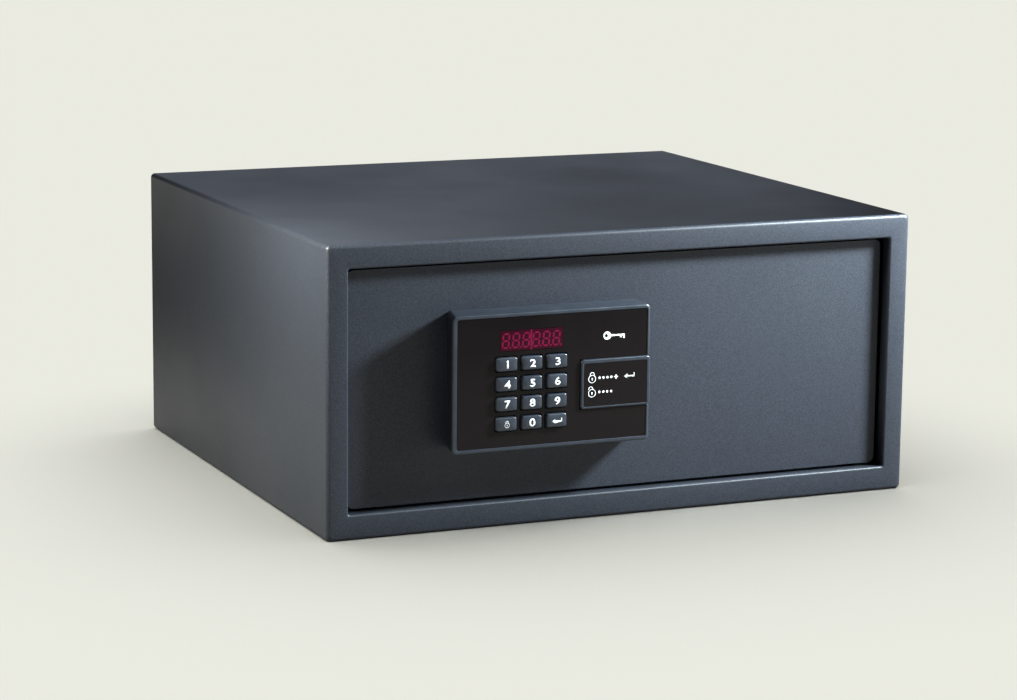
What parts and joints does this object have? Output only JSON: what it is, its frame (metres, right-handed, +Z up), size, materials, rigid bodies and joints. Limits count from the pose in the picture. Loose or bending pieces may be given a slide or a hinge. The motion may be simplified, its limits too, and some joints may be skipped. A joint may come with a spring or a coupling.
{
  "type": "in-room safe",
  "caption": "Low welded steel in-room safe with a recessed hinged door, motor-driven locking bolts and an electronic keypad unit with a display and a service cover.",
  "frame": {"origin": "centre of the cabinet's underside", "axes": "+Z up, -Y out of the door's face, +X to the right as seen by someone at the keypad"},
  "size_m": [0.43, 0.3965, 0.195],
  "materials": {
    "powder_coat": "fine textured satin powder coat",
    "zinc_sheet": "dull zinc plate",
    "bright_steel": "fine brushed",
    "brass": "turned, dull",
    "lock_chrome": "polished nickel",
    "black_rubber": "matte",
    "mat_felt": "needle felt",
    "satin_plastic": "fine satin moulding",
    "gloss_black": "gloss film",
    "display_red": "gloss filter",
    "board_green": "solder mask",
    "black_plastic": "moulded",
    "nylon_white": "natural nylon",
    "cell_wrap": "printed film without print",
    "red_lead": "soft sleeve",
    "black_lead": "soft sleeve"
  },
  "bodies": {
    "cabinet": {"cabinet_shell": "powder_coat", "rear_panel": "powder_coat", "front_frame": "powder_coat", "door_stops": "powder_coat", "door_bumpers": "black_rubber", "strike_plate": "bright_steel", "hinge_brackets": "powder_coat", "hinge_pins": "bright_steel", "hinge_washers": "nylon_white", "floor_mat": "mat_felt"},
    "door": {"door_plate": "powder_coat", "hinge_knuckles": "powder_coat", "lock_case": "zinc_sheet", "case_cover": "zinc_sheet", "case_posts": "bright_steel", "cover_screws": "bright_steel", "bolt_guides": "brass", "gear_motor": "bright_steel", "motor_bracket": "bright_steel", "motor_screws": "bright_steel", "battery_box": "black_plastic", "batteries": "cell_wrap", "battery_contacts": "bright_steel", "motor_lead": "red_lead", "battery_lead": "black_lead", "cable_grommet": "black_rubber", "keypad_housing": "satin_plastic", "housing_screws": "bright_steel", "fascia_panel": "gloss_black", "display_window": "display_red", "display_module": "display_red", "circuit_board": "board_green", "board_screws": "bright_steel", "key_switches": "black_plastic", "buzzer": "black_plastic", "service_well": "black_plastic", "service_socket": "black_plastic", "lock_cylinder": "lock_chrome", "cylinder_nut": "brass"},
    "bolts": {"lock_bolts": "lock_chrome", "bolt_carriage": "bright_steel", "rack_bar": "bright_steel"},
    "pinion": {"drive_pinion": "brass"},
    "override": {"lock_plug": "lock_chrome", "override_cam": "bright_steel"},
    "service_cover": {"service_cover": "satin_plastic", "cover_label": "gloss_black"},
    "battery_cover": {"battery_cover": "zinc_sheet"},
    "key_1": {"key_1": "satin_plastic"},
    "key_2": {"key_2": "satin_plastic"},
    "key_3": {"key_3": "satin_plastic"},
    "key_4": {"key_4": "satin_plastic"},
    "key_5": {"key_5": "satin_plastic"},
    "key_6": {"key_6": "satin_plastic"},
    "key_7": {"key_7": "satin_plastic"},
    "key_8": {"key_8": "satin_plastic"},
    "key_9": {"key_9": "satin_plastic"},
    "key_close": {"key_close": "satin_plastic"},
    "key_0": {"key_0": "satin_plastic"},
    "key_enter": {"key_enter": "satin_plastic"}
  },
  "joints": [
    {"name": "door_hinge", "type": "hinge", "parent": "cabinet", "child": "door", "pos_m": [0.192, -0.1745, 0.098], "axis": [0, 0, 1], "range_deg": [0, 90]},
    {"name": "bolt_slide", "type": "slide", "parent": "door", "child": "bolts", "axis": [1, 0, 0], "range_m": [-0.018, 0]},
    {"name": "pinion_spin", "type": "hinge", "parent": "door", "child": "pinion", "pos_m": [-0.1027, -0.154, 0.0902], "axis": [0, 1, 0], "range_deg": [0, 115]},
    {"name": "override_turn", "type": "hinge", "parent": "door", "child": "override", "pos_m": [-0.0227, -0.19, 0.0952], "axis": [0, -1, 0], "range_deg": [0, 90]},
    {"name": "service_cover_slide", "type": "slide", "parent": "door", "child": "service_cover", "axis": [1, 0, 0], "range_m": [0, 0.056]},
    {"name": "battery_cover_lift", "type": "slide", "parent": "door", "child": "battery_cover", "axis": [0, 1, 0], "range_m": [0, 0.03]},
    {"name": "key_1_press", "type": "slide", "parent": "door", "child": "key_1", "axis": [0, 1, 0], "range_m": [0, 0.0012], "stiffness_N_per_m": 400},
    {"name": "key_2_press", "type": "slide", "parent": "door", "child": "key_2", "axis": [0, 1, 0], "range_m": [0, 0.0012], "stiffness_N_per_m": 400},
    {"name": "key_3_press", "type": "slide", "parent": "door", "child": "key_3", "axis": [0, 1, 0], "range_m": [0, 0.0012], "stiffness_N_per_m": 400},
    {"name": "key_4_press", "type": "slide", "parent": "door", "child": "key_4", "axis": [0, 1, 0], "range_m": [0, 0.0012], "stiffness_N_per_m": 400},
    {"name": "key_5_press", "type": "slide", "parent": "door", "child": "key_5", "axis": [0, 1, 0], "range_m": [0, 0.0012], "stiffness_N_per_m": 400},
    {"name": "key_6_press", "type": "slide", "parent": "door", "child": "key_6", "axis": [0, 1, 0], "range_m": [0, 0.0012], "stiffness_N_per_m": 400},
    {"name": "key_7_press", "type": "slide", "parent": "door", "child": "key_7", "axis": [0, 1, 0], "range_m": [0, 0.0012], "stiffness_N_per_m": 400},
    {"name": "key_8_press", "type": "slide", "parent": "door", "child": "key_8", "axis": [0, 1, 0], "range_m": [0, 0.0012], "stiffness_N_per_m": 400},
    {"name": "key_9_press", "type": "slide", "parent": "door", "child": "key_9", "axis": [0, 1, 0], "range_m": [0, 0.0012], "stiffness_N_per_m": 400},
    {"name": "key_close_press", "type": "slide", "parent": "door", "child": "key_close", "axis": [0, 1, 0], "range_m": [0, 0.0012], "stiffness_N_per_m": 400},
    {"name": "key_0_press", "type": "slide", "parent": "door", "child": "key_0", "axis": [0, 1, 0], "range_m": [0, 0.0012], "stiffness_N_per_m": 400},
    {"name": "key_enter_press", "type": "slide", "parent": "door", "child": "key_enter", "axis": [0, 1, 0], "range_m": [0, 0.0012], "stiffness_N_per_m": 400}
  ],
  "couplings": [
    {"joint": "pinion_spin", "follows": "bolt_slide", "rad_per_m": -111.11}
  ]
}
